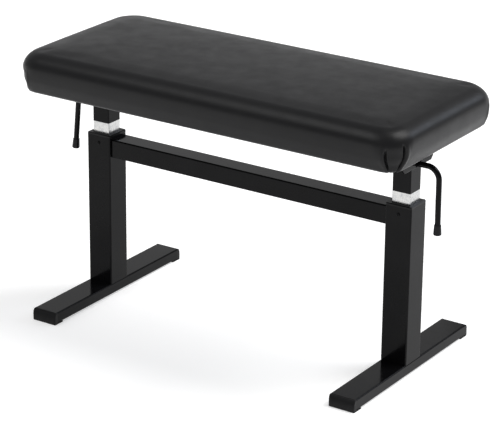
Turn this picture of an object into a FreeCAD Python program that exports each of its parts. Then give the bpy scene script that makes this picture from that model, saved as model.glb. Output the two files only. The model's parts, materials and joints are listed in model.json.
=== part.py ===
"""Duet piano bench: a padded seat on two square gas-lift columns, with a release lever at each end.

Millimetres. +X runs along the bench, -Y is the front, +Z is up, and the origin is on the floor
midway between the two columns. Each sub-part goes to its own STEP file in parts/.
"""
import FreeCAD, Part
import math
import os

V = FreeCAD.Vector
X_AXIS, Y_AXIS, Z_AXIS = V(1, 0, 0), V(0, 1, 0), V(0, 0, 1)
SIDES = {"left": -1, "right": 1}
ENDS = {"front": -1, "rear": 1}

# ---- driving dimensions ---------------------------------------------------------------------
COLUMN_X = 312.0            # column axis, from the middle of the bench
COLUMN_SIZE = 50.0          # outside of the square column
COLUMN_WALL = 2.0
COLUMN_TOP = 306.0          # top of the steel; the bush flange sits on it
STEEL_CORNER = 2.5          # outside corner radius of all rectangular tube
INSIDE_CORNER = 1.0

PAD_HEIGHT = 2.0            # the end caps' pads lift the foot tube off the floor
FOOT_LENGTH = 388.0         # over the end caps
CAP_LENGTH = 9.0            # the part of a cap that shows beyond the tube
FOOT_HEIGHT = 20.0
FOOT_WALL = 1.5
FOOT_BOLT_Y = 14.0          # foot bolts, either side of the column axis

BAR_DEPTH = 40.0
BAR_BOTTOM, BAR_TOP = 268.0, 302.0

LIFT_SIZE = 35.0            # inner sliding tube, and the head tube above it
LIFT_WALL = 1.5
BRIGHT_LENGTH = 20.0        # bright tube that shows at the rest height
BUSH_FLANGE = 4.0
BUSH_LENGTH = 60.0          # liner inside the column
BUSH_SCREW_DROP = 13.0      # bush screws, below the column's top
LIFT_BOTTOM = 116.0         # lower end of the lift tube, in its shoe
SPIGOT_LENGTH = 30.0        # the head tube's plug in the lift tube
SLIDE_GAP = 0.3             # between sliding faces

CYLINDER_RADIUS, CYLINDER_BORE = 14.0, 12.0
CYLINDER_BOTTOM, CYLINDER_TOP = 34.0, 214.0
ROD_RADIUS = 5.0            # gas spring piston rod
PISTON_BOTTOM, PISTON_TOP = 100.0, 112.0
PIN_RADIUS = 2.0            # release pin inside the rod
PIN_BOTTOM = 246.0
PIN_BORE_BOTTOM = 240.0
ROD_NUT_Z = 362.0           # underside of the rod's nut, on top of the release block

BRACKET_BOTTOM = 374.0
BOARD_BOTTOM = 417.0
BRACKET_LENGTH = 100.0
BRACKET_PLATE = 3.0

LEVER_RADIUS = 5.0
LEVER_Z = 380.0             # axis of the lever's level part
LEVER_REACH = 61.0          # from the column axis to the hanging part
LEVER_BEND = 22.0           # centre-line radius of the bend
LEVER_PIVOT = 12.0          # from the column axis to the pivot pin
LEVER_TIP_Z = 262.0         # lowest point of the plastic tip
LEVER_LEAN = {"left": 5.0, "right": 0.5}    # degrees outward that the hand-bent rods hang

SEAT_LENGTH, SEAT_DEPTH = 780.0, 340.0
SEAT_BOTTOM, SEAT_TOP = 415.5, 488.0
SEAT_CORNER = 38.0          # outline corner radius, seen from above
SEAT_EDGE = 28.0            # radius where the top rolls over into the sides
COVER_THICKNESS = 2.0
COVER_LIP = 30.0            # width of leather turned under the board
BOARD_LENGTH, BOARD_DEPTH, BOARD_THICKNESS = 752.0, 312.0, 15.0
BOARD_CORNER = 44.0
SCREW_YS = (-42.0, -27.0, 27.0, 42.0)

# ---- heights that follow --------------------------------------------------------------------
FOOT_TOP = PAD_HEIGHT + FOOT_HEIGHT
FLANGE_TOP = COLUMN_TOP + BUSH_FLANGE
LIFT_TOP = FLANGE_TOP + BRIGHT_LENGTH
BUSH_SCREW_Z = COLUMN_TOP - BUSH_SCREW_DROP
BRACKET_TOP = BOARD_BOTTOM
HEAD_TOP = BRACKET_TOP - BRACKET_PLATE
BOARD_TOP = BOARD_BOTTOM + BOARD_THICKNESS
PIN_TOP = LEVER_Z - LEVER_RADIUS - SLIDE_GAP
FOOT_TUBE_END = FOOT_LENGTH / 2 - CAP_LENGTH
HALF_COLUMN = COLUMN_SIZE / 2
HALF_LIFT = LIFT_SIZE / 2
BORE_HALF = HALF_COLUMN - COLUMN_WALL


# ---- building blocks ------------------------------------------------------------------------
def block(x, y, z, radius=0.0, along=Z_AXIS):
    """A box between (low, high) pairs, with its four edges along one axis rounded."""
    solid = Part.makeBox(x[1] - x[0], y[1] - y[0], z[1] - z[0], V(x[0], y[0], z[0]))
    if radius:
        parallel = [e for e in solid.Edges if abs(e.tangentAt(e.FirstParameter).dot(along)) > 0.99]
        solid = solid.makeFillet(radius, parallel)
    return solid


def square(half, z, radius=0.0):
    """An upright square prism about the Z axis."""
    return block((-half, half), (-half, half), z, radius)


def tube(x, y, z, wall, radius, along):
    """A rectangular tube, open at both ends along one axis."""
    bore = []
    for (low, high), open_end in zip((x, y, z), tuple(along)):
        bore.append((low - 1, high + 1) if open_end else (low + wall, high - wall))
    return block(x, y, z, radius, along).cut(block(*bore, max(radius - wall, INSIDE_CORNER), along))


def square_tube(half, z, wall, radius):
    """An upright square tube about the Z axis."""
    return tube((-half, half), (-half, half), z, wall, radius, Z_AXIS)


def rod(radius, start, end):
    """A round bar between two points."""
    return Part.makeCylinder(radius, (end - start).Length, start, end - start)


def upright(radius, low, high, x=0.0, y=0.0):
    """A round bar along Z."""
    return rod(radius, V(x, y, low), V(x, y, high))


def hexagon(across_flats, low, high):
    """An upright hexagonal prism about the Z axis."""
    corner = across_flats / math.sqrt(3)
    points = [V(corner * math.cos(math.radians(60 * i)), corner * math.sin(math.radians(60 * i)), low)
              for i in range(7)]
    return Part.Face(Part.makePolygon(points)).extrude(V(0, 0, high - low))


def without(solid, *tools):
    """The solid with each tool cut away."""
    for tool in tools:
        solid = solid.cut(tool)
    return solid


def at_column(shape, side):
    """Puts a shape built about the Z axis, with +X outward, on the left or right column."""
    if side == "left":
        shape = shape.mirror(V(0, 0, 0), X_AXIS)
    return shape.translated(V(SIDES[side] * COLUMN_X, 0, 0))


# ---- base -----------------------------------------------------------------------------------
def foot_tube():
    """Flat rectangular tube along Y, drilled for the two bolts that hold the column."""
    low = PAD_HEIGHT
    solid = tube((-HALF_COLUMN, HALF_COLUMN), (-FOOT_TUBE_END, FOOT_TUBE_END), (low, FOOT_TOP),
                 FOOT_WALL, STEEL_CORNER, Y_AXIS)
    for y in (-FOOT_BOLT_Y, FOOT_BOLT_Y):
        access = upright(8.5, low - 1, low + FOOT_WALL + 1, y=y)
        clearance = upright(4.3, FOOT_TOP - FOOT_WALL - 1, FOOT_TOP + 1, y=y)
        solid = without(solid, access, clearance)
    return solid


def foot_cap(end):
    """Moulded cap: a plug in the tube, a rounded nose beyond it and a pad on the floor."""
    tube_end = FOOT_TUBE_END
    nose = tube_end + CAP_LENGTH
    pad_back = tube_end - 15
    bevel = 1.5
    bottom = [V(0, tube_end, PAD_HEIGHT), V(0, pad_back, PAD_HEIGHT), V(0, pad_back, 0),
              V(0, nose - bevel, 0), V(0, nose, bevel)]
    shoulder = V(0, nose - 3.5, FOOT_TOP - 3.5)
    crest = V(0, nose - 7, FOOT_TOP)
    face_bow = V(0, nose - 0.8, FOOT_TOP * 0.5)
    shoulder_bow = V(0, nose - 4.6, FOOT_TOP - 1.2)
    edges = [Part.LineSegment(a, b).toShape() for a, b in zip(bottom, bottom[1:])]
    edges.append(Part.Arc(bottom[-1], face_bow, shoulder).toShape())
    edges.append(Part.Arc(shoulder, shoulder_bow, crest).toShape())
    edges.append(Part.LineSegment(crest, V(0, tube_end, FOOT_TOP)).toShape())
    edges.append(Part.LineSegment(V(0, tube_end, FOOT_TOP), bottom[0]).toShape())
    body = Part.Face(Part.Wire(edges)).extrude(V(COLUMN_SIZE, 0, 0))
    body.translate(V(-HALF_COLUMN, 0, 0))
    # the nose is rounded in plan, and so are the tube's long corners
    body = body.common(block((-HALF_COLUMN, HALF_COLUMN), (0, nose), (-10, FOOT_TOP + 10), 3.0, Z_AXIS))
    body = body.common(block((-HALF_COLUMN, HALF_COLUMN), (0, nose + 10), (-5, FOOT_TOP),
                             STEEL_CORNER, Y_AXIS))
    plug_half = HALF_COLUMN - FOOT_WALL - 0.2
    plug_z = (PAD_HEIGHT + FOOT_WALL + 0.2, FOOT_TOP - FOOT_WALL - 0.2)
    plug = block((-plug_half, plug_half), (tube_end - 24, tube_end + 1), plug_z, INSIDE_CORNER, Y_AXIS)
    core = block((-plug_half + 2, plug_half - 2), (tube_end - 25, tube_end - 2),
                 (plug_z[0] + 2, plug_z[1] - 2))
    cap = body.fuse(plug).cut(core).removeSplitter()
    return cap if end == "rear" else cap.mirror(V(0, 0, 0), Y_AXIS)


def column():
    """Square steel column, with holes for the two bush screws."""
    solid = square_tube(HALF_COLUMN, (FOOT_TOP, COLUMN_TOP), COLUMN_WALL, STEEL_CORNER)
    screw_hole = rod(2.2, V(0, -HALF_COLUMN - 1, BUSH_SCREW_Z), V(0, HALF_COLUMN + 1, BUSH_SCREW_Z))
    return solid.cut(screw_hole)


def base_plate():
    """Tapped plate welded in the column's foot: two foot bolts, and the gas cylinder's stud."""
    plate = square(BORE_HALF - 0.2, (FOOT_TOP, FOOT_TOP + 8), INSIDE_CORNER)
    holes = [upright(4.0, FOOT_TOP - 1, FOOT_TOP + 9, y=y) for y in (-FOOT_BOLT_Y, 0, FOOT_BOLT_Y)]
    return without(plate, *holes)


def foot_bolt(y):
    """M8 socket-head bolt, up through the foot tube into the base plate."""
    seat = FOOT_TOP - FOOT_WALL - 1.5
    bolt = upright(6.5, seat - 8, seat, y=y).fuse(upright(3.95, seat - 1, FOOT_TOP + 8, y=y))
    socket = hexagon(6, seat - 9, seat - 4).translated(V(0, y, 0))
    return bolt.cut(socket)


def foot_washer(y):
    """Plain washer between the bolt's head and the foot tube's upper wall."""
    top = FOOT_TOP - FOOT_WALL
    return upright(8.0, top - 1.5, top, y=y).cut(upright(4.2, top - 2, top + 1, y=y))


def crossbar():
    """Rectangular tube welded between the columns."""
    end = COLUMN_X - HALF_COLUMN
    return tube((-end, end), (-BAR_DEPTH / 2, BAR_DEPTH / 2), (BAR_BOTTOM, BAR_TOP),
                FOOT_WALL, STEEL_CORNER, X_AXIS)


def guide_bush():
    """Plastic liner in the column's mouth, with a flange on top, that guides the lift tube."""
    liner = square(BORE_HALF - 0.2, (COLUMN_TOP - BUSH_LENGTH, COLUMN_TOP + 1), INSIDE_CORNER)
    flange = square(HALF_COLUMN, (COLUMN_TOP, FLANGE_TOP), STEEL_CORNER)
    top_edges = [e for e in flange.Edges if e.BoundBox.ZMin > FLANGE_TOP - 0.01]
    flange = flange.makeChamfer(1.2, top_edges)
    bore = square(HALF_LIFT + SLIDE_GAP, (COLUMN_TOP - BUSH_LENGTH - 1, FLANGE_TOP + 1), 1.8)
    pilots = [rod(1.6, V(0, end * 19, BUSH_SCREW_Z), V(0, end * (BORE_HALF + 1), BUSH_SCREW_Z))
              for end in ENDS.values()]
    return without(liner.fuse(flange).removeSplitter(), bore, *pilots)


def bush_screw(direction):
    """Low button-head screw through the column into the bush, on the front or rear face."""
    z = BUSH_SCREW_Z
    face = direction * HALF_COLUMN
    head = rod(3.2, V(0, face, z), V(0, face + direction * 1.6, z))
    rim = [e for e in head.Edges if abs(e.BoundBox.YMin - face - direction * 1.6) < 0.01
           and abs(e.BoundBox.YMax - face - direction * 1.6) < 0.01]
    head = head.makeFillet(0.9, rim)
    shank = rod(1.55, V(0, direction * 19.5, z), V(0, face + direction * 0.5, z))
    socket = rod(1.3, V(0, face + direction * 0.6, z), V(0, face + direction * 2, z))
    return head.fuse(shank).cut(socket)


# ---- gas springs ----------------------------------------------------------------------------
def gas_cylinder():
    """Pressure tube with a closed bottom and a stud that screws into the base plate."""
    outer = upright(CYLINDER_RADIUS, CYLINDER_BOTTOM, CYLINDER_TOP)
    stud = upright(3.95, FOOT_TOP + 0.5, CYLINDER_BOTTOM + 1)
    bore = upright(CYLINDER_BORE, CYLINDER_BOTTOM + 5, CYLINDER_TOP + 1)
    return outer.fuse(stud).cut(bore)


def cylinder_gland():
    """Guide and seal in the mouth of the cylinder."""
    gland = upright(CYLINDER_BORE - 0.02, CYLINDER_TOP - 12, CYLINDER_TOP)
    return gland.cut(upright(ROD_RADIUS + 0.1, CYLINDER_TOP - 13, CYLINDER_TOP + 1))


def gas_rod():
    """Hollow piston rod: its top screws into the release block, and the release pin runs in it."""
    top = ROD_NUT_Z + 6
    bar = upright(ROD_RADIUS, PISTON_BOTTOM, top)
    return bar.cut(upright(PIN_RADIUS + 0.2, PIN_BORE_BOTTOM, top + 1))


def gas_piston():
    """Piston on the rod's lower end, with a groove for its seal."""
    ring = upright(CYLINDER_BORE - SLIDE_GAP, PISTON_BOTTOM, PISTON_TOP)
    seal_low, seal_high = PISTON_BOTTOM + 5, PISTON_TOP - 5
    groove = upright(CYLINDER_BORE + 1, seal_low, seal_high)
    groove = groove.cut(upright(CYLINDER_BORE - 1.5, seal_low - 1, seal_high + 1))
    return without(ring, upright(ROD_RADIUS + 0.02, PISTON_BOTTOM - 1, PISTON_TOP + 1), groove)


def release_pin():
    """Push rod that opens the gas spring's valve when the lever presses on its top."""
    return upright(PIN_RADIUS, PIN_BOTTOM, PIN_TOP)


# ---- seat frame -----------------------------------------------------------------------------
def lift_tube():
    """Bright inner tube that slides in the bush and carries the shoe below."""
    return square_tube(HALF_LIFT, (LIFT_BOTTOM, LIFT_TOP), LIFT_WALL, 2.0)


def lift_shoe():
    """Plastic shoe on the lift tube's lower end, which slides inside the column."""
    half = BORE_HALF - SLIDE_GAP
    shoe = square(half, (LIFT_BOTTOM - 8, LIFT_BOTTOM + 20), 1.5)
    pocket = square(HALF_LIFT + 0.02, (LIFT_BOTTOM, LIFT_BOTTOM + 21), 2.0)
    return without(shoe, pocket, upright(CYLINDER_RADIUS + 1, LIFT_BOTTOM - 9, LIFT_BOTTOM + 1))


def head_tube():
    """Black head of the lift tube, with a spigot below, a lever window and the pivot's holes."""
    spigot_half = HALF_LIFT - LIFT_WALL - 0.2
    head = square(HALF_LIFT, (LIFT_TOP, HEAD_TOP), 2.0)
    spigot = square(spigot_half, (LIFT_TOP - SPIGOT_LENGTH, LIFT_TOP + 1), INSIDE_CORNER)
    bore = square(spigot_half - 2, (LIFT_TOP - SPIGOT_LENGTH - 1, HEAD_TOP + 1), INSIDE_CORNER)
    window = block((10, HALF_LIFT + 1), (-6.5, 6.5), (LEVER_Z - 7, LEVER_Z + 9))
    pivot = rod(2.5, V(LEVER_PIVOT, -30, LEVER_Z), V(LEVER_PIVOT, 30, LEVER_Z))
    return without(head.fuse(spigot).removeSplitter(), bore, window, pivot)


def release_block():
    """Tapped block in the head tube that the gas spring's rod screws into."""
    half = HALF_LIFT - LIFT_WALL - 2.2
    low = ROD_NUT_Z - 12
    bore = upright(ROD_RADIUS + 0.02, low - 1, ROD_NUT_Z + 1)
    return square(half, (low, ROD_NUT_Z), INSIDE_CORNER).cut(bore)


def rod_nut():
    """Thin nut that locks the rod in the release block."""
    bore = upright(ROD_RADIUS + 0.02, ROD_NUT_Z - 1, ROD_NUT_Z + 6)
    return hexagon(17, ROD_NUT_Z, ROD_NUT_Z + 5).cut(bore)


def seat_bracket():
    """Folded channel over the head tube, screwed up into the board, with a notch for the lever."""
    inner, outer = HALF_LIFT + 0.25, HALF_LIFT + 0.25 + BRACKET_PLATE
    half_length = BRACKET_LENGTH / 2
    shell = block((-outer, outer), (-half_length, half_length), (BRACKET_BOTTOM, BRACKET_TOP), 1.5, Y_AXIS)
    inside = block((-inner, inner), (-half_length - 1, half_length + 1), (BRACKET_BOTTOM - 5, HEAD_TOP))
    solid = shell.cut(inside)
    corner = 8.0
    for end in (-1, 1):
        tip = [V(-30, end * (half_length + 1), BRACKET_BOTTOM - 1),
               V(-30, end * (half_length - corner), BRACKET_BOTTOM - 1),
               V(-30, end * (half_length + 1), BRACKET_BOTTOM + corner)]
        solid = solid.cut(Part.Face(Part.makePolygon(tip + tip[:1])).extrude(V(60, 0, 0)))
    lever_notch = block((inner - 1, outer + 1), (-8, 8), (LEVER_Z - 20, LEVER_Z + 12), 3.0, X_AXIS)
    screw_holes = [upright(2.7, HEAD_TOP - 1, BRACKET_TOP + 1, y=y) for y in SCREW_YS]
    return without(solid, lever_notch, *screw_holes)


def bracket_screw(y):
    """Pan-head screw from inside the channel into the board."""
    head = upright(5.5, HEAD_TOP - 2.8, HEAD_TOP, y=y)
    rim = [e for e in head.Edges if e.BoundBox.ZMax < HEAD_TOP - 2.7]
    head = head.makeFillet(1.2, rim)
    slots = [block((-2.6, 2.6), (y - 0.6, y + 0.6), (HEAD_TOP - 4, HEAD_TOP - 1.6)),
             block((-0.6, 0.6), (y - 2.6, y + 2.6), (HEAD_TOP - 4, HEAD_TOP - 1.6))]
    return without(head.fuse(upright(2.4, HEAD_TOP - 1, BOARD_BOTTOM + 12, y=y)), *slots)


def pivot_pin():
    """Pin across the head tube that the lever turns on, grooved at both ends for its clips."""
    reach = HALF_LIFT + 3.2
    pin = rod(2.48, V(LEVER_PIVOT, -reach, LEVER_Z), V(LEVER_PIVOT, reach, LEVER_Z))
    for y in (-reach + 1.4, reach - 1.4):
        ring = rod(4, V(LEVER_PIVOT, y - 0.45, LEVER_Z), V(LEVER_PIVOT, y + 0.45, LEVER_Z))
        core = rod(2.0, V(LEVER_PIVOT, y - 1, LEVER_Z), V(LEVER_PIVOT, y + 1, LEVER_Z))
        pin = pin.cut(ring.cut(core))
    return pin


def pin_clip(direction):
    """Retaining ring in the pin's groove, open on one side."""
    y = direction * (HALF_LIFT + 1.8)
    low, high = V(LEVER_PIVOT, y - 0.4, LEVER_Z), V(LEVER_PIVOT, y + 0.4, LEVER_Z)
    mouth = block((LEVER_PIVOT - 1.3, LEVER_PIVOT + 1.3), (y - 1, y + 1), (LEVER_Z, LEVER_Z + 6))
    return without(rod(4.4, low, high), rod(2.02, low, high), mouth)


# ---- levers ---------------------------------------------------------------------------------
def hang_direction(side):
    lean = math.radians(LEVER_LEAN[side])
    return V(math.sin(lean), 0, -math.cos(lean))


def lever_end(side):
    """Middle of the hanging part's lower end, at the bottom of the plastic tip."""
    corner = V(LEVER_REACH, 0, LEVER_Z)
    down = hang_direction(side)
    return corner + down * ((LEVER_TIP_Z - LEVER_Z) / down.z)


def lever(side):
    """Round bar that runs level from over the release pin, out through the window, and hangs down."""
    turn = math.radians(90 - LEVER_LEAN[side])
    tangent = LEVER_BEND * math.tan(turn / 2)
    corner = V(LEVER_REACH, 0, LEVER_Z)
    down = hang_direction(side)
    inner_end = V(-6, 0, LEVER_Z)
    bend_start = corner - X_AXIS * tangent
    bend_end = corner + down * tangent
    centre = bend_start - Z_AXIS * LEVER_BEND
    bend_middle = centre + V(math.sin(turn / 2), 0, math.cos(turn / 2)) * LEVER_BEND
    path = Part.Wire([Part.LineSegment(inner_end, bend_start).toShape(),
                      Part.Arc(bend_start, bend_middle, bend_end).toShape(),
                      Part.LineSegment(bend_end, lever_end(side) - down * 3).toShape()])
    section = Part.Wire(Part.makeCircle(LEVER_RADIUS, inner_end, X_AXIS))
    bar = path.makePipeShell([section], True, False)
    pivot = rod(2.55, V(LEVER_PIVOT, -10, LEVER_Z), V(LEVER_PIVOT, 10, LEVER_Z))
    return bar.cut(pivot)


def lever_tip(side):
    """Plastic tip pushed on the lever's end, a little wider at the bottom."""
    end = lever_end(side)
    up = hang_direction(side) * -1
    length, top_radius, bottom_radius = 18.0, 6.0, 7.2
    cone = Part.makeCone(bottom_radius, top_radius, length, end, up)
    rims = [e for e in cone.Edges if e.Closed]
    bottom_rim = min(rims, key=lambda e: e.BoundBox.ZMin)
    cone = cone.makeFillet(2.5, [bottom_rim])
    socket = rod(LEVER_RADIUS + 0.02, end + up * 3, end + up * (length + 1))
    return cone.cut(socket)


# ---- seat -----------------------------------------------------------------------------------
def padded_block(inset, low, high):
    """The seat's rounded outline, moved in by inset on all four sides."""
    half_x, half_y = SEAT_LENGTH / 2 - inset, SEAT_DEPTH / 2 - inset
    solid = block((-half_x, half_x), (-half_y, half_y), (low, high), SEAT_CORNER - inset)
    top_edges = [e for e in solid.Edges if e.BoundBox.ZMin > high - 0.01]
    return solid.makeFillet(SEAT_EDGE - inset, top_edges)


def board_outline():
    half_x, half_y = BOARD_LENGTH / 2, BOARD_DEPTH / 2
    return block((-half_x, half_x), (-half_y, half_y), (BOARD_BOTTOM, BOARD_TOP), BOARD_CORNER)


def seat_board():
    """Plywood board with pilot holes for the bracket screws."""
    pilots = [upright(2.45, BOARD_BOTTOM - 1, BOARD_BOTTOM + 13, side * COLUMN_X, y)
              for side in SIDES.values() for y in SCREW_YS]
    return without(board_outline(), *pilots)


def foam_outline():
    return padded_block(COVER_THICKNESS, BOARD_BOTTOM, SEAT_TOP - COVER_THICKNESS)


def foam_pad():
    """Foam over the board's top and edges, inside the leather."""
    return foam_outline().cut(board_outline())


def leather_cover():
    """Leather over the foam, turned under the board's edge all round."""
    outside = padded_block(0, SEAT_BOTTOM, SEAT_TOP)
    opening_x, opening_y = SEAT_LENGTH / 2 - COVER_LIP, SEAT_DEPTH / 2 - COVER_LIP
    opening = block((-opening_x, opening_x), (-opening_y, opening_y),
                    (SEAT_BOTTOM - 1, BOARD_BOTTOM + 1), 8.0)
    return without(outside, foam_outline(), opening)


def dust_cover():
    """Black cloth under the board, cut out round the two brackets."""
    half_x, half_y = SEAT_LENGTH / 2 - COVER_LIP - 1, SEAT_DEPTH / 2 - COVER_LIP - 1
    cloth = block((-half_x, half_x), (-half_y, half_y), (BOARD_BOTTOM - 1, BOARD_BOTTOM), 8.0)
    around_x, around_y = HALF_LIFT + BRACKET_PLATE + 3, BRACKET_LENGTH / 2 + 3
    cut_outs = [block((s * COLUMN_X - around_x, s * COLUMN_X + around_x), (-around_y, around_y),
                      (BOARD_BOTTOM - 2, BOARD_BOTTOM + 1)) for s in SIDES.values()]
    return without(cloth, *cut_outs)


# ---- assembly -------------------------------------------------------------------------------
def both_sides(make, *choices):
    """One group of fasteners: each choice of the maker's argument, at both columns."""
    shapes = [at_column(make(choice), side) for side in SIDES for choice in choices]
    return Part.makeCompound(shapes)


def main():
    nodes = {}
    for side in SIDES:
        for end in ENDS:
            nodes[f"foot_cap_{side}_{end}"] = at_column(foot_cap(end), side)
        for make in (foot_tube, column, base_plate, guide_bush, gas_cylinder, cylinder_gland, gas_rod,
                     gas_piston, release_pin, lift_tube, lift_shoe, head_tube, release_block,
                     seat_bracket, pivot_pin):
            nodes[f"{make.__name__}_{side}"] = at_column(make(), side)
        for make in (lever, lever_tip):
            nodes[f"{make.__name__}_{side}"] = at_column(make(side), side)
    nodes["foot_bolts"] = both_sides(foot_bolt, -FOOT_BOLT_Y, FOOT_BOLT_Y)
    nodes["foot_washers"] = both_sides(foot_washer, -FOOT_BOLT_Y, FOOT_BOLT_Y)
    nodes["bush_screws"] = both_sides(bush_screw, *ENDS.values())
    nodes["pivot_clips"] = both_sides(pin_clip, *ENDS.values())
    nodes["bracket_screws"] = both_sides(bracket_screw, *SCREW_YS)
    nodes["rod_nuts"] = Part.makeCompound([at_column(rod_nut(), side) for side in SIDES])
    for make in (crossbar, seat_board, foam_pad, leather_cover, dust_cover):
        nodes[make.__name__] = make()

    os.makedirs("parts", exist_ok=True)
    for name, shape in nodes.items():
        shape.exportStep(f"parts/{name}.step")
        box = shape.BoundBox
        valid = "ok" if shape.isValid() else "NOT VALID"
        print(f"{name:22s} {valid} solids {len(shape.Solids)} x {box.XMin:.1f}..{box.XMax:.1f}"
              f" y {box.YMin:.1f}..{box.YMax:.1f} z {box.ZMin:.1f}..{box.ZMax:.1f}")


main()
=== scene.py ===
"""Looks of the duet piano bench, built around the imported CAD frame. Metres, +X along the bench,
-Y the front, +Z up, origin on the floor midway between the two columns."""

import json
import math
from collections import namedtuple

import bmesh
import bpy
import numpy as np
from mathutils import Matrix, Vector


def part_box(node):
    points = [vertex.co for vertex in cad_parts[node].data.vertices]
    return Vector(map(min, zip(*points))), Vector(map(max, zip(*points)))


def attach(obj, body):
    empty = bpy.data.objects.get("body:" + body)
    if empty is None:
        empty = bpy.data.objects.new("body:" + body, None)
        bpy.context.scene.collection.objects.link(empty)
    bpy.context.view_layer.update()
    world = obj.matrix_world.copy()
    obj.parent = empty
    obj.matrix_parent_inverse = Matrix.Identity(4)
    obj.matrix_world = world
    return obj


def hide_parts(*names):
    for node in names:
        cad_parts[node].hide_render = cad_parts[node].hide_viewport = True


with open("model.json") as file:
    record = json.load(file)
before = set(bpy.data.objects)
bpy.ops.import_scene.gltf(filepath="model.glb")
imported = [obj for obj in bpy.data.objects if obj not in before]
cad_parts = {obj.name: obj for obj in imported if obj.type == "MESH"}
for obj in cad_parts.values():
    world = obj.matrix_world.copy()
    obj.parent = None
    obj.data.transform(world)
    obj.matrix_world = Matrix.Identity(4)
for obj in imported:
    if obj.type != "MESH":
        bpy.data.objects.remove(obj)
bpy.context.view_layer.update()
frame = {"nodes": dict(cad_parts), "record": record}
scene = bpy.context.scene

MM = 0.001
TINY = 1e-9                     # keeps divisions by a length from failing
NOISE_ROUGHNESS = 0.55          # how strong each finer layer of a noise pattern is, against the one before

# ---- camera -----------------------------------------------------------------------------------
CAMERA_AZIMUTH = math.radians(33.43)
CAMERA_ELEVATION = math.radians(21.13)
CAMERA_ROLL = math.radians(0.6)
CAMERA_PLACE = Vector((2.1065, -3.1909, 1.6953))
CAMERA_LENS, CAMERA_SENSOR = 168.33, 36.0           # mm

# ---- light ------------------------------------------------------------------------------------
WORLD_COLOR = (0.98, 0.985, 1.0, 1.0)
BACKDROP, CEILING = 0.40, 0.30                      # the world's strength low down, and overhead
CEILING_FROM, CEILING_TO = 0.35, 0.85               # sine of the elevation over which it changes
FLOOR_GLOW = 0.43               # the pale floor is a lit table, so that shadows stay light
FLOOR_REACH = 30.0              # half its side
Sun = namedtuple("Sun", "place strength angle color")       # strength in watts per square metre
KEY = Sun((0.9, 0.9, 2.0), 2.1, math.radians(36), (1.0, 0.99, 0.98))
Softbox = namedtuple("Softbox", "place target size power color")    # power in watts
SOFTBOXES = {
    "rear_right": Softbox((1.24, 1.56, 1.35), (0.36, 0, 0.47), (0.9, 0.5), 6, (0.80, 0.87, 1.0)),
    "rear_left": Softbox((-1.45, 1.9, 0.7), (-0.2, 0, 0.3), (1.5, 1.2), 2.0, (1, 1, 1)),
    "front_left": Softbox((-0.55, -0.9, 2.0), (0.2, -0.15, 0.46), (1.5, 1.0), 12, (1, 1, 1)),
}

# ---- the cushion ------------------------------------------------------------------------------
SEAT_LOW, SEAT_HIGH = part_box("leather_cover")
BOARD_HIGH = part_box("seat_board")[1]
EDGE_HEIGHT = 27 * MM           # the top rolls over into the sides along a quarter of an ellipse
EDGE_DEPTH = 31 * MM
CORNER_BOTTOM = 42 * MM         # radius of the corners, seen from above: the top's are rounder
CORNER_TOP = 60 * MM
CROWN = 4 * MM                  # how far the middle of the top stands above its edges
LEATHER = 2 * MM
PULL_IN = SEAT_HIGH.x - BOARD_HIGH.x - LEATHER      # how far the sides pull in to the board's edge
PULL_IN_POWER = 1.8             # above 1, they pull in mostly near the bottom
BOTTOM_RADIUS = 2.5 * MM
BOTTOM_TURNS = (22, 45, 68, 90)                     # degrees round the bottom edge, one ring each
LIP_REACH = 30 * MM             # the lip under the board ends this far in from the box's side
LIP_SHARES = (0.4, 0.6, 0.8, 1.0)                   # of the way there from the pulled-in side, one ring each
LIP_STEP = 0.5 * MM             # one more ring lies this far beyond the lip's end
RECESS = 3.6 * MM               # and this far up, inside the board, where the form is closed
SIDE_RINGS = 29
COARSE, FINE = 8.5 * MM, 2.3 * MM                   # mesh steps over the top
FINE_ZONE = CORNER_TOP          # the mesh is fine this near the edges

# ---- the simulation, and how much of it the cushion takes over ----------------------------------
SLACK = 8 * MM                  # the simulated copy is shrunk by this, and none of its points moves further
SLACK_OVER = 3 * SLACK          # height over which the shrinking sets in
PINNED_BELOW = 7 * MM           # points lower than this above the cushion's bottom are held still
CLOTH_FRAMES = 20
CLOTH = {
    "quality": 5, "mass": 0.3,
    "tension_stiffness": 18, "compression_stiffness": 18, "shear_stiffness": 8, "bending_stiffness": 0.6,
    "use_pressure": True, "uniform_pressure_force": 8.0,
}
EVEN_ROUNDS, EVEN_STEP = 160, 0.6                   # smoothing that parts broad movement from wrinkles
SETTLE = 0.35                   # the full form goes this share of the way to that copy, smoothed
WRINKLES = 0.12                 # and takes this share of its wrinkles
FIT_PERCENT = 99.0              # this percentile of the points' reach is scaled to the box's side
FIT_FROM = 0.35                 # share of the height above which the sides take part in that in full
CROWN_FROM = 0.5                # share of the height above which points belong to the crown

# ---- the pleats: two creases at each corner, with a tongue of leather tucked between them ---------
PLEAT_REACH = 30 * MM           # along the sides, from where the corner's round begins
PLEAT_FROM, PLEAT_OVER = -1 * MM, 3 * MM            # heights over which the pleats set in
PLEAT_TILT = 0.3                # share kept of the normals' upright part: pleats move mostly level
CREASE_DEPTH_LOW, CREASE_DEPTH_MORE = 2.0 * MM, 5.5 * MM    # at the lower edge, and added further up
CREASE_WIDTH = 1.9 * MM
DEEPENS_FROM, DEEPENS_OVER = 3 * MM, 12 * MM        # heights
BOW_HEIGHT = 32 * MM            # the creases bow apart up to here, and draw together above
DRAW_IN, DRAW_IN_OVER = 4.0 * MM, 30 * MM
ROLL_WIDTH = 4.5 * MM           # the leather stands up a little beside each crease
TONGUE_DEPTH, TONGUE_EDGE = 2.6 * MM, 5 * MM
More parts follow.
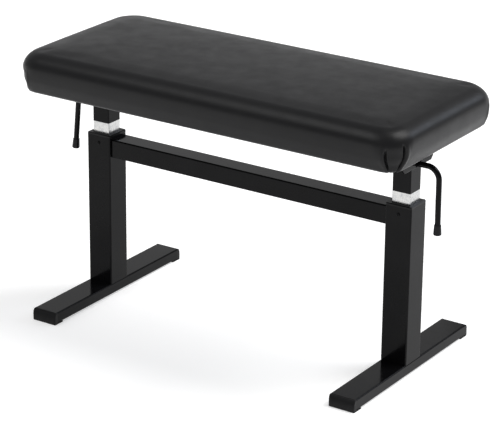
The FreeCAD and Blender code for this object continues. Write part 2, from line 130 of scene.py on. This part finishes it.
# start: from the corner's middle, at the lower edge. bow: how much further away it goes. top and fade:
# where it ends, and over what height. roll and roll_off: how high and how far off the raised leather is
Crease = namedtuple("Crease", "start bow top fade roll roll_off")
LONG_CREASE = Crease(7.0 * MM, 9.0 * MM, 46 * MM, 16 * MM, 1.0 * MM, 6.5 * MM)
END_CREASE = Crease(8.0 * MM, 12.0 * MM, 52 * MM, 14 * MM, 1.4 * MM, 7.0 * MM)


# ---- node helpers -----------------------------------------------------------------------------
class Shader:
    """A Principled material with short ways to add procedural detail in metres."""

    def __init__(self, name, color, roughness, metallic=0.0, specular=0.5):
        self.material = bpy.data.materials.new(name)
        self.material.use_nodes = True
        self.tree = self.material.node_tree
        self.principled = self.tree.nodes["Principled BSDF"]
        self.color = color
        self.set("Base Color", (*color, 1.0))
        self.set("Roughness", roughness)
        self.set("Metallic", metallic)
        self.set("Specular IOR Level", specular)
        self.place = self.node("ShaderNodeTexCoord").outputs["Object"]
        self.normal = None

    def node(self, kind, **values):
        made = self.tree.nodes.new(kind)
        for name, value in values.items():
            setattr(made, name, value)
        return made

    def set(self, socket, value):
        self.principled.inputs[socket].default_value = value

    def link(self, out, into):
        self.tree.links.new(out, into)

    def mapped(self, **values):
        """Object coordinates through a Mapping node with these inputs."""
        mapping = self.node("ShaderNodeMapping")
        for name, value in values.items():
            mapping.inputs[name].default_value = value
        self.link(self.place, mapping.inputs["Vector"])
        return mapping.outputs["Vector"]

    def warped(self, size, amount):
        """Object coordinates pushed about by noise, so that a pattern loses its straight lines."""
        wobble = self.node("ShaderNodeTexNoise")
        wobble.inputs["Scale"].default_value = 1.0 / size
        self.link(self.place, wobble.inputs["Vector"])
        shrink = self.node("ShaderNodeVectorMath", operation="SCALE")
        shrink.inputs["Scale"].default_value = amount
        self.link(wobble.outputs["Color"], shrink.inputs[0])
        warp = self.node("ShaderNodeVectorMath", operation="ADD")
        self.link(self.place, warp.inputs[0])
        self.link(shrink.outputs["Vector"], warp.inputs[1])
        return warp.outputs["Vector"]

    def noise(self, size, detail=3.0, place=None):
        """Noise whose blobs are about size metres across."""
        made = self.node("ShaderNodeTexNoise")
        made.inputs["Scale"].default_value = 1.0 / size
        made.inputs["Detail"].default_value = detail
        made.inputs["Roughness"].default_value = NOISE_ROUGHNESS
        self.link(place or self.place, made.inputs["Vector"])
        return made.outputs["Fac"]

    def cells(self, size, feature="F1", place=None):
        """Irregular cells about size metres across: distance to their middle, or to their edge."""
        made = self.node("ShaderNodeTexVoronoi", feature=feature)
        made.inputs["Scale"].default_value = 1.0 / size
        self.link(place or self.place, made.inputs["Vector"])
        return made.outputs["Distance"]

    def ramp(self, fac, low, high, start=0.3, end=0.7):
        """Maps the part of a pattern from start to end to numbers from low to high."""
        made = self.node("ShaderNodeMapRange")
        made.inputs["From Min"].default_value = start
        made.inputs["From Max"].default_value = end
        made.inputs["To Min"].default_value = low
        made.inputs["To Max"].default_value = high
        self.link(fac, made.inputs["Value"])
        return made.outputs["Result"]

    def vary_color(self, fac, other, start=0.35, end=0.7):
        """Blends the base colour towards another one where the pattern is high."""
        made = self.node("ShaderNodeMix", data_type="RGBA")
        made.inputs["A"].default_value = (*self.color, 1.0)
        made.inputs["B"].default_value = (*other, 1.0)
        self.link(self.ramp(fac, 0.0, 1.0, start, end), made.inputs["Factor"])
        self.link(made.outputs["Result"], self.principled.inputs["Base Color"])

    def vary_roughness(self, fac, low, high):
        self.link(self.ramp(fac, low, high), self.principled.inputs["Roughness"])

    def bump(self, height, depth, strength):
        """Adds relief; each call lies on top of the one before."""
        made = self.node("ShaderNodeBump")
        made.inputs["Distance"].default_value = depth
        made.inputs["Strength"].default_value = strength
        self.link(height, made.inputs["Height"])
        if self.normal:
            self.link(self.normal, made.inputs["Normal"])
        self.normal = made.outputs["Normal"]
        self.link(self.normal, self.principled.inputs["Normal"])


# ---- materials --------------------------------------------------------------------------------
def gloss_paint(name, roughness):
    """Black powder coat with a glossy top and a faint orange peel."""
    shader = Shader(name, (0.0026, 0.0026, 0.0029), roughness, specular=0.10)
    shader.vary_color(shader.noise(60 * MM), (0.0045, 0.0045, 0.005))
    shader.vary_roughness(shader.noise(14 * MM, 4), roughness * 0.8, roughness * 1.3)
    shader.bump(shader.noise(3.2 * MM, 2), 0.02 * MM, 0.5)
    return shader.material


def bright_plating():
    """Zinc-plated tube: drawn streaks along Z and a mottled bloom."""
    shader = Shader("bright_plating", (0.56, 0.56, 0.55), 0.20, metallic=1.0)
    shader.vary_color(shader.noise(5 * MM, 5), (0.42, 0.43, 0.44), 0.45, 0.75)
    streaks = shader.noise(1.0, 3, shader.mapped(Scale=(900, 900, 40)))
    shader.vary_roughness(streaks, 0.16, 0.36)
    shader.bump(streaks, 0.02 * MM, 0.4)
    return shader.material


def moulded_plastic(name, roughness):
    """Black moulded plastic with a fine grain."""
    shader = Shader(name, (0.0045, 0.0045, 0.0048), roughness, specular=0.16)
    shader.vary_color(shader.noise(25 * MM), (0.0070, 0.0070, 0.0075))
    shader.vary_roughness(shader.noise(9 * MM, 4), roughness * 0.85, roughness * 1.15)
    shader.bump(shader.noise(0.5 * MM, 2), 0.03 * MM, 0.5)
    return shader.material


def steel(name, color, roughness, dark):
    """Bare or plated steel with fine marks across Z and dull patches."""
    shader = Shader(name, color, roughness, metallic=1.0)
    shader.vary_color(shader.noise(4 * MM, 5), dark, 0.45, 0.75)
    shader.vary_roughness(shader.noise(3 * MM, 4), roughness * 0.75, roughness * 1.4)
    shader.bump(shader.noise(1.0, 2, shader.mapped(Scale=(300, 300, 2500))), 0.01 * MM, 0.5)
    return shader.material


def leather():
    """Smooth black leather: fine pebbled grain, small pores, and a soft unevenness."""
    shader = Shader("black_leather", (0.0065, 0.0065, 0.0070), 0.37, specular=0.18)
    shader.vary_color(shader.noise(90 * MM, 4), (0.0080, 0.0080, 0.0086))
    shader.vary_roughness(shader.noise(30 * MM, 5), 0.34, 0.42)
    pebbles = shader.cells(1.1 * MM, "DISTANCE_TO_EDGE", shader.warped(2.2 * MM, 0.6 * MM))
    shader.bump(shader.ramp(pebbles, 0.0, 1.0, 0.0, 0.22), 0.05 * MM, 0.5)
    shader.bump(shader.noise(0.35 * MM, 2), 0.015 * MM, 0.4)
    shader.bump(shader.noise(70 * MM, 2), 0.4 * MM, 0.3)
    return shader.material


def plywood():
    """Birch plywood: grain along X, and layers through its thickness."""
    shader = Shader("plywood", (0.42, 0.29, 0.17), 0.6, specular=0.3)
    grain = shader.noise(1.0, 6, shader.mapped(Scale=(12, 260, 700)))
    shader.vary_color(grain, (0.25, 0.16, 0.09), 0.3, 0.8)
    shader.bump(grain, 0.1 * MM, 0.5)
    return shader.material


def underside_cloth():
    """Thin black non-woven cloth with irregular dimples and a fibrous surface."""
    shader = Shader("underside_cloth", (0.012, 0.012, 0.012), 0.9, specular=0.15)
    shader.vary_color(shader.noise(2 * MM, 5), (0.022, 0.022, 0.022))
    turned = shader.mapped(Rotation=(0, 0, math.radians(45)))
    shader.bump(shader.cells(1.8 * MM, "F1", turned), 0.12 * MM, 0.6)
    shader.bump(shader.noise(0.6 * MM, 4), 0.1 * MM, 0.5)
    return shader.material


def foam():
    """Pale yellow open-cell foam."""
    shader = Shader("foam", (0.62, 0.56, 0.42), 0.95, specular=0.1)
    shader.vary_color(shader.noise(3 * MM, 5), (0.5, 0.44, 0.31))
    shader.bump(shader.cells(1.2 * MM), 0.3 * MM, 0.8)
    return shader.material


def make_finishes():
    """One material for each slot of the record."""
    return {
        "frame_black": gloss_paint("frame_paint", 0.14),
        "lever_black": gloss_paint("lever_paint", 0.10),
        "cylinder_black": gloss_paint("cylinder_paint", 0.30),
        "screw_black": gloss_paint("screw_paint", 0.35),
        "bright_tube": bright_plating(),
        "cap_plastic": moulded_plastic("cap_plastic", 0.42),
        "bush_plastic": moulded_plastic("bush_plastic", 0.34),
        "tip_plastic": moulded_plastic("tip_plastic", 0.25),
        "rod_chrome": steel("rod_chrome", (0.75, 0.75, 0.77), 0.08, (0.68, 0.68, 0.70)),
        "raw_steel": steel("raw_steel", (0.42, 0.41, 0.40), 0.38, (0.30, 0.29, 0.28)),
        "zinc": steel("zinc", (0.62, 0.62, 0.60), 0.30, (0.48, 0.48, 0.47)),
        "leather_black": leather(),
        "foam": foam(),
        "plywood": plywood(),
        "underside_cloth": underside_cloth(),
    }


def dress_frame(finishes):
    """Gives every CAD node the finish of its material slot."""
    for subpart in frame["record"]["subparts"]:
        for slot in frame["nodes"][subpart["node"]].material_slots:
            slot.material = finishes[subpart["material_slot"]]


# ---- mesh helpers -----------------------------------------------------------------------------
def add_object(name, mesh, material):
    made = bpy.data.objects.new(name, mesh)
    scene.collection.objects.link(made)
    mesh.materials.append(material)
    return made


def smooth(t):
    """0 to 1 with level ends."""
    t = np.clip(t, 0.0, 1.0)
    return t * t * (3 - 2 * t)


def ticks(half, fine_from):
    """Symmetric grid positions from -half to half, closer together beyond fine_from."""
    coarse = np.linspace(0, fine_from, max(2, round(fine_from / COARSE) + 1))
    fine = np.linspace(fine_from, half, round((half - fine_from) / FINE) + 1)
    outward = np.concatenate([coarse, fine[1:]])
    return np.concatenate([-outward[:0:-1], outward])


def rows_of(mesh, field):
    """One row of X, Y and Z for each point of a mesh."""
    flat = np.empty(len(mesh.vertices) * 3)
    mesh.vertices.foreach_get(field, flat)
    return flat.reshape(-1, 3)


def points_of(mesh):
    return rows_of(mesh, "co")


def normals_of(mesh):
    return rows_of(mesh, "normal")


def move_points(mesh, points):
    mesh.vertices.foreach_set("co", points.ravel())
    mesh.update()


# ---- cushion ----------------------------------------------------------------------------------
class Cushion:
    """The padded leather seat: a full rounded form, moved part of the way towards a simulated one, and
    then pleated at its corners."""

    def __init__(self):
        self.half = np.array((SEAT_HIGH.x, SEAT_HIGH.y))
        self.bottom, self.top = SEAT_LOW.z, SEAT_HIGH.z

    def build(self):
        """The full form: a grid over the top, side rings, and the lip turned under the board."""
        hx, hy = self.half
        xs, ys = ticks(hx, hx - FINE_ZONE), ticks(hy, hy - FINE_ZONE)
        bm = bmesh.new()
        top = [[bm.verts.new(self.rolled(x, y, self.top)) for y in ys] for x in xs]
        for i in range(len(xs) - 1):
            for j in range(len(ys) - 1):
                bm.faces.new((top[i][j], top[i + 1][j], top[i + 1][j + 1], top[i][j + 1]))
        rim = [(i, 0) for i in range(len(xs) - 1)]
        rim += [(len(xs) - 1, j) for j in range(len(ys) - 1)]
        rim += [(i, len(ys) - 1) for i in range(len(xs) - 1, 0, -1)]
        rim += [(0, j) for j in range(len(ys) - 1, 0, -1)]
        ring = [top[i][j] for i, j in rim]
        corners = [(xs[i], ys[j]) for i, j in rim]
        for place in self.rings():
            lower = [bm.verts.new(place(x, y)) for x, y in corners]
            for k in range(len(ring)):
                after = (k + 1) % len(ring)
                bm.faces.new((ring[k], lower[k], lower[after], ring[after]))
            ring = lower
        mesh = bpy.data.meshes.new("seat_cushion")
        bm.to_mesh(mesh)
        bm.free()
        return mesh

    def close(self, mesh):
        """Closes the form inside the board, and turns every face outward."""
        bm = bmesh.new()
        bm.from_mesh(mesh)
        bmesh.ops.edgeloop_fill(bm, edges=[edge for edge in bm.edges if edge.is_boundary])
        bmesh.ops.recalc_face_normals(bm, faces=bm.faces)
        bm.to_mesh(mesh)
        bm.free()

    def inset_point(self, x, y, inset, z):
        """The point of the form above or below (x, y) of its box, inset from its rounded outline."""
        radius = self.corner_radius(z)
        core_x, core_y = self.half - radius
        past = Vector((max(0.0, abs(x) - core_x), max(0.0, abs(y) - core_y)))
        core = Vector((math.copysign(min(abs(x), core_x), x), math.copysign(min(abs(y), core_y), y)))
        away = past.normalized() * (radius - inset)
        return Vector((core.x + math.copysign(away.x, x), core.y + math.copysign(away.y, y), z))

    def rolled(self, x, y, z):
        """Moves a point of the box onto its rounded edges, and pulls the sides in lower down."""
        hx, hy = self.half
        inset = min(hx - abs(x), hy - abs(y))
        middle = self.top - EDGE_HEIGHT
        across, up = 1 - inset / EDGE_DEPTH, (z - middle) / EDGE_HEIGHT
        if across > 0 and up > 0:
            shrink = 1 / math.hypot(across, up)
            inset = EDGE_DEPTH * (1 - across * shrink)
            z = middle + EDGE_HEIGHT * up * shrink
        inset += PULL_IN * max(0.0, (middle - z) / (middle - self.bottom)) ** PULL_IN_POWER
        if inset >= self.corner_radius(z):
            return Vector((x, y, z))
        return self.inset_point(x, y, inset, z)

    def corner_radius(self, z):
        share = smooth((z - self.bottom) / (self.top - self.bottom))
        return CORNER_BOTTOM + (CORNER_TOP - CORNER_BOTTOM) * float(share)

    def rings(self):
        """Functions that place each ring of the sides, the bottom edge and the lip."""
        def side(z):
            return lambda x, y: self.rolled(x, y, z)

        def under(inset, z):
            return lambda x, y: self.inset_point(x, y, PULL_IN + inset, z)

        edge = self.bottom + BOTTOM_RADIUS
        made = [side(z) for z in np.linspace(self.top, edge, SIDE_RINGS + 1)[1:]]
        for turn in BOTTOM_TURNS:
            angle = math.radians(turn)
            made.append(under(BOTTOM_RADIUS * (1 - math.cos(angle)), edge - BOTTOM_RADIUS * math.sin(angle)))
        lip_end = LIP_REACH - PULL_IN
        for share in LIP_SHARES:
            made.append(under(lip_end * share, self.bottom))
        made.append(under(lip_end + LIP_STEP, self.bottom + RECESS))
        return made

    def settle(self, piece):
        """Simulates a shrunken copy of the form as cloth under pressure: its top balloons and its sides
        draw in, but no point moves further than it may, so that the copy stays within the full form.
        The full form then sinks a share of the way to it, and takes a smaller share of its wrinkles."""
        full = points_of(piece.data)
        free = smooth((full[:, 2] - self.bottom) / SLACK_OVER)[:, None]
        shrunk = SLACK * free * normals_of(piece.data)
        start = full - shrunk
        move_points(piece.data, start)
        fixed = [i for i, p in enumerate(start) if p[2] < self.bottom + PINNED_BELOW]
        moved = self.simulated(piece, fixed) - start
        length = np.linalg.norm(moved, axis=1, keepdims=True) + TINY
        capped = moved / length * SLACK * np.tanh(length / SLACK)
        even = self.relaxed(piece.data, capped, fixed)
        move_points(piece.data, full + SETTLE * (even - shrunk) + WRINKLES * (capped - even))

    def simulated(self, piece, fixed):
        """The piece's points after the cloth simulation, which is taken off it again."""
        pinned = piece.vertex_groups.new(name="pinned")
        pinned.add(fixed, 1.0, "REPLACE")
        cloth = piece.modifiers.new("cloth", "CLOTH")
        for name, value in CLOTH.items():
            setattr(cloth.settings, name, value)
        cloth.settings.vertex_group_mass = "pinned"
        cloth.settings.effector_weights.gravity = 0
        cloth.collision_settings.use_collision = False
        cloth.point_cache.frame_end = CLOTH_FRAMES
        for step in range(1, CLOTH_FRAMES + 1):
            scene.frame_set(step)
        settled = points_of(piece.evaluated_get(bpy.context.evaluated_depsgraph_get()).data)
        piece.modifiers.remove(cloth)
        piece.vertex_groups.remove(pinned)
        scene.frame_set(1)
        return settled

    def relaxed(self, mesh, field, fixed):
        """The same movement without its wrinkles: each point nears the mean of its neighbours."""
        ends = np.empty(len(mesh.edges) * 2, int)
        mesh.edges.foreach_get("vertices", ends)
        a, b = ends.reshape(-1, 2).T
        size = len(field)
        count = np.bincount(ends, minlength=size)[:, None]
        even = field.copy()
        for _ in range(EVEN_ROUNDS):
            total = np.stack([np.bincount(a, even[b, k], size) + np.bincount(b, even[a, k], size)
                              for k in range(3)], axis=1)
            even = (1 - EVEN_STEP) * even + EVEN_STEP * total / count
            even[fixed] = 0.0
        return even

    def fit(self, mesh):
        """Scales the form along X and Y and moves its top, so that it fills the CAD cushion's box, and
        crowns the top."""
        points = points_of(mesh)
        reach = np.array([np.percentile(np.abs(points[:, k]), FIT_PERCENT) for k in range(2)])
        rise = points[:, 2] - self.bottom
        height = rise.max()
        share = np.clip(rise / height, 0, 1)
        points[:, :2] *= 1 + (self.half / reach - 1) * smooth(share / FIT_FROM)[:, None]
        inset = np.clip((self.half - np.abs(points[:, :2])).min(axis=1) / self.half[1], 0, 1)
        crown = CROWN * np.sin(inset * math.pi / 2) * (share > CROWN_FROM)
        points[:, 2] += share * (self.top - self.bottom - height) + crown
        move_points(mesh, points)

    def refine(self, piece):
        """One level of subdivision, applied."""
        subdivide = piece.modifiers.new("smooth", "SUBSURF")
        subdivide.levels = 1
        depsgraph = bpy.context.evaluated_depsgraph_get()
        finer = bpy.data.meshes.new_from_object(piece.evaluated_get(depsgraph))
        piece.modifiers.clear()
        piece.data = finer

    def pleat(self, mesh):
        """Sinks the two creases and the tongue between them, and raises the leather beside them."""
        points = points_of(mesh)
        outward = normals_of(mesh) * (1, 1, PLEAT_TILT)
        outward /= np.linalg.norm(outward, axis=1, keepdims=True) + TINY
        height = points[:, 2] - self.bottom
        x, y = (np.abs(points[:, :2]) - (self.half - CORNER_BOTTOM)).T
        near = (x > -PLEAT_REACH) & (y > -PLEAT_REACH) & (height > PLEAT_FROM)
        along = self.round_corner(x, y)
        bowed = np.sin(np.clip(height / BOW_HEIGHT, 0, 1) * math.pi / 2)
        drawn_in = DRAW_IN * smooth((height - BOW_HEIGHT) / DRAW_IN_OVER)
        deepens = smooth((height - DEEPENS_FROM) / DEEPENS_OVER)
        depth = CREASE_DEPTH_LOW + CREASE_DEPTH_MORE * deepens
        move = np.zeros(len(points))
        tongue = np.ones(len(points))
        least_fade = np.ones(len(points))
        for direction, crease in ((-1, LONG_CREASE), (1, END_CREASE)):
            past = direction * along - (crease.start + crease.bow * bowed - drawn_in)
            fade = smooth((crease.top - height) / crease.fade)
            move -= depth * fade * np.exp(-(past / CREASE_WIDTH) ** 2)
            move += crease.roll * fade * np.exp(-((past - crease.roll_off) / ROLL_WIDTH) ** 2)
            tongue *= smooth(-past / TONGUE_EDGE)
            least_fade = np.minimum(least_fade, fade)
        move -= TONGUE_DEPTH * tongue * least_fade * deepens
        move *= near * smooth((height - PLEAT_FROM) / PLEAT_OVER)
        move_points(mesh, points + outward * move[:, None])

    def round_corner(self, x, y):
        """Distance round the corner from its middle: negative on the long side, positive on the end."""
        quarter = math.pi / 4
        least = 0.01 * MM
        along = (np.arctan2(np.maximum(x, least), np.maximum(y, least)) - quarter) * CORNER_BOTTOM
        along = np.where(y < 0, quarter * CORNER_BOTTOM - y, along)
        return np.where(x < 0, x - quarter * CORNER_BOTTOM, along)


def make_cushion(material):
    cushion = Cushion()
    piece = add_object("seat_cushion", cushion.build(), material)
    cushion.settle(piece)
    cushion.fit(piece.data)
    cushion.refine(piece)
    cushion.pleat(piece.data)
    cushion.close(piece.data)
    piece.data.polygons.foreach_set("use_smooth", [True] * len(piece.data.polygons))
    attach(piece, "seat")
    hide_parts("leather_cover", "foam_pad")


# ---- stage ------------------------------------------------------------------------------------
def make_floor():
    mesh = bpy.data.meshes.new("floor")
    corners = [(-1, -1), (1, -1), (1, 1), (-1, 1)]
    mesh.from_pydata([(x * FLOOR_REACH, y * FLOOR_REACH, 0) for x, y in corners], [], [(0, 1, 2, 3)])
    shader = Shader("pale_floor", (0.86, 0.86, 0.86), 0.9, specular=0.1)
    shader.vary_color(shader.noise(1.5), (0.84, 0.84, 0.84))
    shader.set("Emission Color", (1.0, 1.0, 1.0, 1.0))
    shader.set("Emission Strength", FLOOR_GLOW)
    floor = add_object("floor", mesh, shader.material)


def add_lamp(name, kind, color, energy, toward):
    """A lamp whose light goes in the direction toward."""
    data = bpy.data.lights.new(name, kind)
    data.energy = energy
    data.color = color
    lamp = bpy.data.objects.new(name, data)
    scene.collection.objects.link(lamp)
    lamp.rotation_euler = toward.to_track_quat("-Z", "Y").to_euler()
    return lamp


def make_world():
    """An even backdrop all round that fades to a somewhat dimmer ceiling."""
    world = bpy.data.worlds.new("studio")
    world.use_nodes = True
    tree = world.node_tree
    background = tree.nodes["Background"]
    background.inputs["Color"].default_value = WORLD_COLOR
    direction = tree.nodes.new("ShaderNodeTexCoord")
    parts = tree.nodes.new("ShaderNodeSeparateXYZ")
    fade = tree.nodes.new("ShaderNodeMapRange")
    fade.interpolation_type = "SMOOTHSTEP"
    limits = {"From Min": CEILING_FROM, "From Max": CEILING_TO, "To Min": BACKDROP, "To Max": CEILING}
    for socket, value in limits.items():
        fade.inputs[socket].default_value = value
    tree.links.new(direction.outputs["Generated"], parts.inputs["Vector"])
    tree.links.new(parts.outputs["Z"], fade.inputs["Value"])
    tree.links.new(fade.outputs["Result"], background.inputs["Strength"])
    scene.world = world


def light_studio():
    """The world, a broad key light from the rear right whose wide disc makes soft shadows, and three
    softboxes. The rear left one shows in the glossy tops of the bar and the left foot, the bluish rear
    right one along the right end of the seat, and the front left one where the seat rolls over."""
    make_world()
    key = add_lamp("key", "SUN", KEY.color, KEY.strength, -Vector(KEY.place))
    key.data.angle = KEY.angle
    for name, box in SOFTBOXES.items():
        lamp = add_lamp(name, "AREA", box.color, box.power, Vector(box.target) - Vector(box.place))
        lamp.data.shape = "RECTANGLE"
        lamp.data.size, lamp.data.size_y = box.size
        lamp.location = box.place


def place_camera():
    azimuth, elevation, roll = CAMERA_AZIMUTH, CAMERA_ELEVATION, CAMERA_ROLL
    forward = Vector((-math.sin(azimuth) * math.cos(elevation), math.cos(azimuth) * math.cos(elevation),
                      -math.sin(elevation)))
    level = Vector((math.cos(azimuth), math.sin(azimuth), 0))
    upright = level.cross(forward)
    right = level * math.cos(roll) + upright * math.sin(roll)
    up = upright * math.cos(roll) - level * math.sin(roll)
    data = bpy.data.cameras.new("camera")
    data.sensor_width = CAMERA_SENSOR
    data.lens = CAMERA_LENS
    camera = bpy.data.objects.new("camera", data)
    scene.collection.objects.link(camera)
    camera.matrix_world = Matrix((right, up, -forward)).transposed().to_4x4()
    camera.location = CAMERA_PLACE
    scene.camera = camera


# ---- the scene --------------------------------------------------------------------------------
place_camera()
light_studio()
make_floor()
scene.view_settings.view_transform = "Standard"
finishes = make_finishes()
dress_frame(finishes)
make_cushion(finishes["leather_black"])
